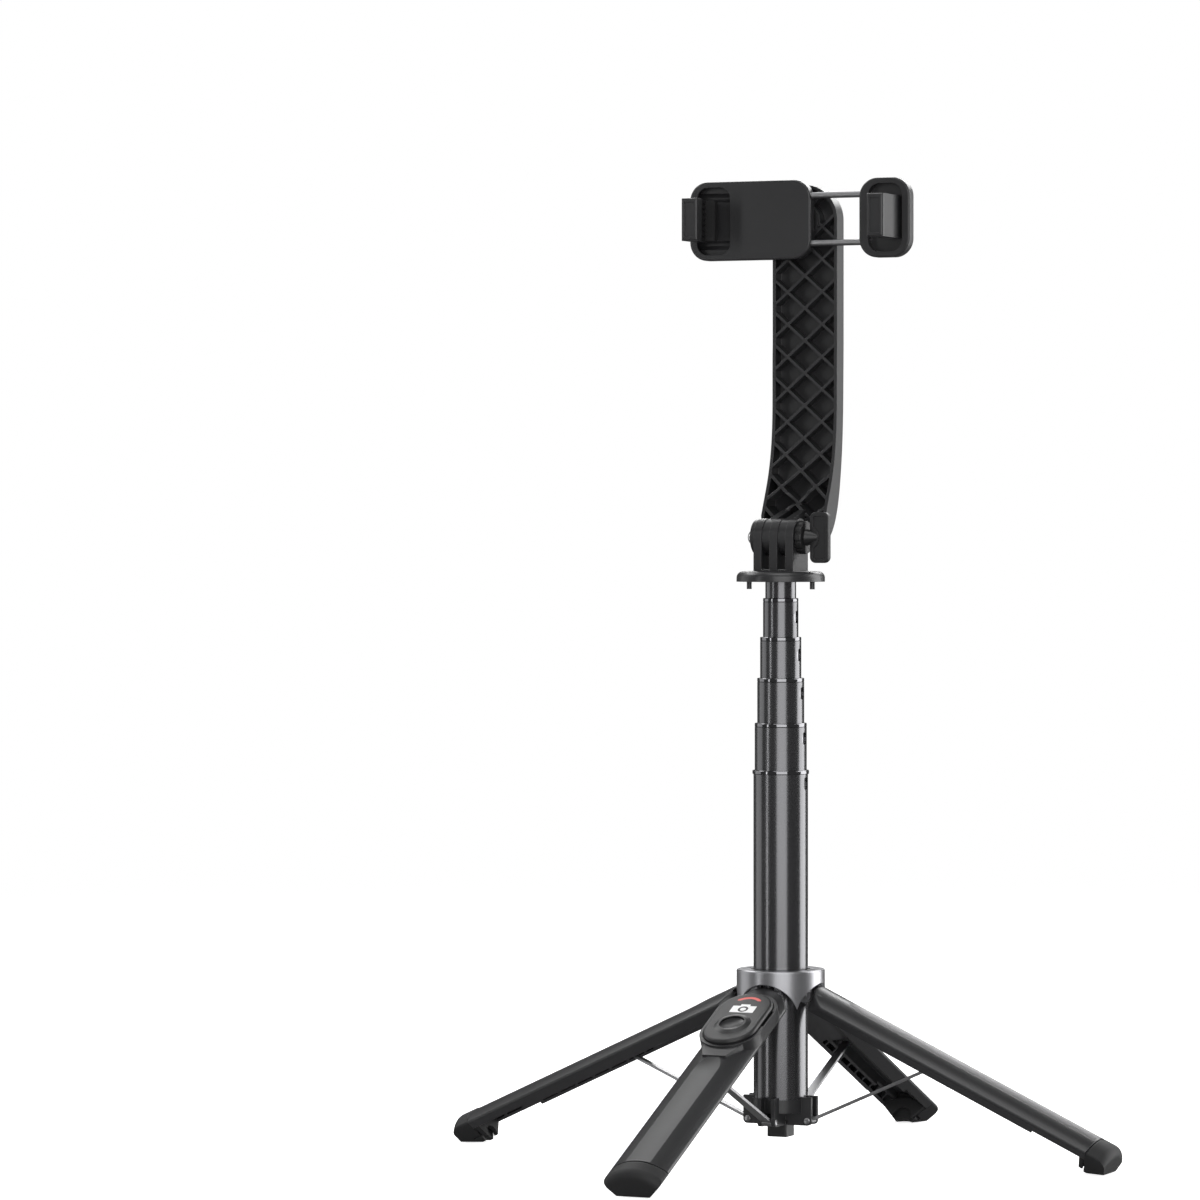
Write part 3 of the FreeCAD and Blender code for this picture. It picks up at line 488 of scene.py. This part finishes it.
class STICK_OT_tubes(bpy.types.Operator):
    """Finish the telescopic tubes, their rims and their guide rings"""

    bl_idname = "stick.tubes"
    bl_label = "Telescopic tubes"

    def execute(self, context):
        dress("main_tube", "tube_rim")
        for i in range(2, 7):
            dress(f"section_{i}", f"glide_{i}")
        for i in range(2, 6):
            dress(f"rim_{i}")
        return {"FINISHED"}


class STICK_OT_hub(bpy.types.Operator):
    """Finish the sliding hub, and put heads on its hinge pins"""

    bl_idname = "stick.hub"
    bl_label = "Hub"

    def execute(self, context):
        dress("hub_liner", "hub_pins")
        # lighter than the other mouldings, so it doesn't take its own slot's finish
        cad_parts["hub"].material_slots[0].material = FINISH["hub"]
        sizes = context.scene.stick_hardware
        profile = rivet_profile(sizes.rivet_radius, sizes.rivet_rise)
        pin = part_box("hub_pins")
        height = (pin[0].z + pin[1].z) / 2
        mesh = lathe(profile, rivet_places(PIN_CIRCLE, height, HUB_PIN_END))
        new_piece("hub_rivets", mesh, "hub", "pin_steel")
        return {"FINISHED"}


class STICK_OT_legs(bpy.types.Operator):
    """Finish the legs, their feet, struts and strut pins"""

    bl_idname = "stick.legs"
    bl_label = "Legs, feet and struts"

    def execute(self, context):
        for side in SIDES:
            dress(f"leg_{side}", f"foot_{side}", f"strut_{side}", f"strut_pin_{side}")
        return {"FINISHED"}


class STICK_OT_collar(bpy.types.Operator):
    """Finish the strut collar and its plug, and put heads on the strut pins"""

    bl_idname = "stick.collar"
    bl_label = "Strut collar"

    def execute(self, context):
        dress("strut_collar", "base_plug", "collar_pins")
        sizes = context.scene.stick_hardware
        profile = rivet_profile(sizes.rivet_radius, sizes.rivet_rise)
        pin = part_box("collar_pins")
        height = (pin[0].z + pin[1].z) / 2
        mesh = lathe(profile, rivet_places(PIN_CIRCLE, height, COLLAR_PIN_END))
        new_piece("collar_rivets", mesh, "base", "pin_steel")
        return {"FINISHED"}


class STICK_OT_head(bpy.types.Operator):
    """Finish the fork, its bolt, nut and knob, and the curved arm"""

    bl_idname = "stick.head"
    bl_label = "Head and arm"

    def execute(self, context):
        dress("head_fork", "cap_nut", "hinge_bolt", "thumb_knob", "arm", "swivel_pin")
        return {"FINISHED"}


class STICK_OT_clamp(bpy.types.Operator):
    """Finish the phone clamp, and wind its two springs"""

    bl_idname = "stick.clamp"
    bl_label = "Phone clamp"

    def execute(self, context):
        dress("clamp_housing", "clamp_cover", "clamp_screws", "clamp_slider", "guide_rods",
              "pad_left", "pad_right")
        sizes = context.scene.stick_hardware
        low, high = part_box("clamp_springs")
        outer = (high.y - low.y) / 2
        wire = sizes.spring_wire
        middle_y = (low.y + high.y) / 2
        for name, z in (("spring_lower", low.z + outer), ("spring_upper", high.z - outer)):
            start = (low.x, middle_y, z)
            mesh = coil(name, start, high.x - low.x, sizes.spring_turns, outer - wire / 2, wire)
            spring = new_piece(name, mesh, "clamp", "bright_steel")
            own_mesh(spring)
            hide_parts("clamp_springs")
        return {"FINISHED"}


class STICK_OT_remote(bpy.types.Operator):
    """Finish the remote, its button, printed marks and what is inside it"""

    bl_idname = "stick.remote"
    bl_label = "Remote"

    def execute(self, context):
        dress("remote_base", "remote_top", "remote_button", "remote_arc", "remote_icon",
              "circuit_board", "button_cell")
        return {"FINISHED"}


def softbox(name, turn, distance, height, width, tall, power):
    """A white area light at an angle round the handle, facing it."""
    data = bpy.data.lights.new(name, "AREA")
    data.shape = "RECTANGLE"
    data.size = width
    data.size_y = tall
    data.energy = power
    lamp = bpy.data.objects.new(name, data)
    angle = math.radians(turn)
    lamp.location = (distance * math.sin(angle), -distance * math.cos(angle), height)
    aim = Vector((0, 0, AIM_HEIGHT)) - lamp.location
    lamp.rotation_euler = aim.to_track_quat("-Z", "Y").to_euler()
    lamp.visible_camera = False
    bpy.context.scene.collection.objects.link(lamp)


class STICK_OT_stage(bpy.types.Operator):
    """Make the pale floor, the soft light and the camera"""

    bl_idname = "stick.stage"
    bl_label = "Studio"

    def execute(self, context):
        studio = context.scene.stick_studio
        self.floor()
        self.sky(context, studio.fill)
        for name, (turn, distance, height, width, tall, power) in SOFTBOXES.items():
            softbox(name, turn, distance, height, width, tall, power * studio.key)
        self.camera(context, studio)
        context.scene.view_settings.view_transform = "Standard"
        return {"FINISHED"}

    def floor(self):
        """A round pale floor that fades out well away from the stick."""
        shape = bmesh.new()
        bmesh.ops.create_circle(shape, cap_ends=True, segments=96, radius=FLOOR_RADIUS)
        mesh = bpy.data.meshes.new("floor")
        shape.to_mesh(mesh)
        shape.free()
        floor = bpy.data.objects.new("floor", mesh)
        floor.location.z = -FLOOR_SINK
        bpy.context.scene.collection.objects.link(floor)
        material, sheet = blank("floor_paper")
        place = sheet.node("ShaderNodeTexCoord", output="Object")
        distance = sheet.node("ShaderNodeVectorMath", {"operation": "LENGTH"}, {0: place}, "Value")
        fade = sheet.node("ShaderNodeMapRange", {"interpolation_type": "SMOOTHSTEP"},
                          {"Value": distance, "From Min": FADE_START, "From Max": FADE_END})
        grain = place.noise(900.0, 2.0)
        paper = grain.tint((0.86, 0.86, 0.86, 1.0), (0.9, 0.9, 0.9, 1.0))
        matte = sheet.node("ShaderNodeBsdfPrincipled", None,
                           {"Base Color": paper, "Roughness": 0.9, "Specular IOR Level": 0.1,
                            "Emission Color": (1.0, 1.0, 1.0, 1.0), "Emission Strength": 0.8})
        clear = sheet.node("ShaderNodeBsdfTransparent")
        both = sheet.node("ShaderNodeMixShader", None, {0: fade, 1: matte, 2: clear})
        sheet.node("ShaderNodeOutputMaterial", None, {"Surface": both})
        mesh.materials.append(material)
        floor.visible_glossy = False

    def sky(self, context, fill):
        """White behind the stick, and a dimmer even light on it."""
        world = bpy.data.worlds.new("studio")
        world.use_nodes = True
        world.node_tree.nodes.clear()
        sheet = Wire(world.node_tree)
        seen = sheet.node("ShaderNodeLightPath", output="Is Camera Ray")
        white = sheet.node("ShaderNodeBackground", None, {"Color": (1, 1, 1, 1), "Strength": 1.0})
        soft = sheet.node("ShaderNodeBackground", None, {"Color": (1, 1, 1, 1), "Strength": fill})
        both = sheet.node("ShaderNodeMixShader", None, {0: seen, 1: soft, 2: white})
        sheet.node("ShaderNodeOutputWorld", None, {"Surface": both})
        context.scene.world = world

    def camera(self, context, studio):
        data = bpy.data.cameras.new("camera")
        data.sensor_width = 36.0
        data.lens = studio.camera_lens
        data.shift_x, data.shift_y = CAMERA_SHIFT
        data.clip_end = 50.0
        camera = bpy.data.objects.new("camera", data)
        turn = studio.camera_turn
        distance = studio.camera_distance
        camera.location = (distance * math.sin(turn), -distance * math.cos(turn),
                           studio.camera_height)
        camera.rotation_euler = (math.pi / 2, 0, turn)
        context.scene.collection.objects.link(camera)
        context.scene.camera = camera


class STICK_PT_panel(bpy.types.Panel):
    """Lists the stick's pieces and their settings"""

    bl_idname = "STICK_PT_panel"
    bl_label = "Selfie stick"
    bl_space_type = "VIEW_3D"
    bl_region_type = "UI"
    bl_category = "Selfie stick"

    def draw(self, context):
        for group in ("stick_looks", "stick_hardware", "stick_studio"):
            settings = getattr(context.scene, group)
            for name in settings.__annotations__:
                self.layout.prop(settings, name)
        for piece in PIECES:
            self.layout.operator(piece.bl_idname)


PIECES = (STICK_OT_stage, STICK_OT_tubes, STICK_OT_hub, STICK_OT_legs, STICK_OT_collar,
          STICK_OT_head, STICK_OT_clamp, STICK_OT_remote)
GROUPS = {"stick_looks": StickLooks, "stick_hardware": StickHardware, "stick_studio": StickStudio}


def register():
    for name, group in GROUPS.items():
        bpy.utils.register_class(group)
        setattr(bpy.types.Scene, name, bpy.props.PointerProperty(type=group))
    for piece in PIECES:
        bpy.utils.register_class(piece)
    bpy.utils.register_class(STICK_PT_panel)


def unregister():
    bpy.utils.unregister_class(STICK_PT_panel)
    for piece in reversed(PIECES):
        bpy.utils.unregister_class(piece)
    for name, group in GROUPS.items():
        delattr(bpy.types.Scene, name)
        bpy.utils.unregister_class(group)


def main():
    register()
    FINISH.update(finishes())
    bpy.ops.stick.stage()
    bpy.ops.stick.tubes()
    bpy.ops.stick.hub()
    bpy.ops.stick.legs()
    bpy.ops.stick.collar()
    bpy.ops.stick.head()
    bpy.ops.stick.clamp()
    bpy.ops.stick.remote()
    bpy.context.view_layer.update()


if __name__ == "__main__":
    main()
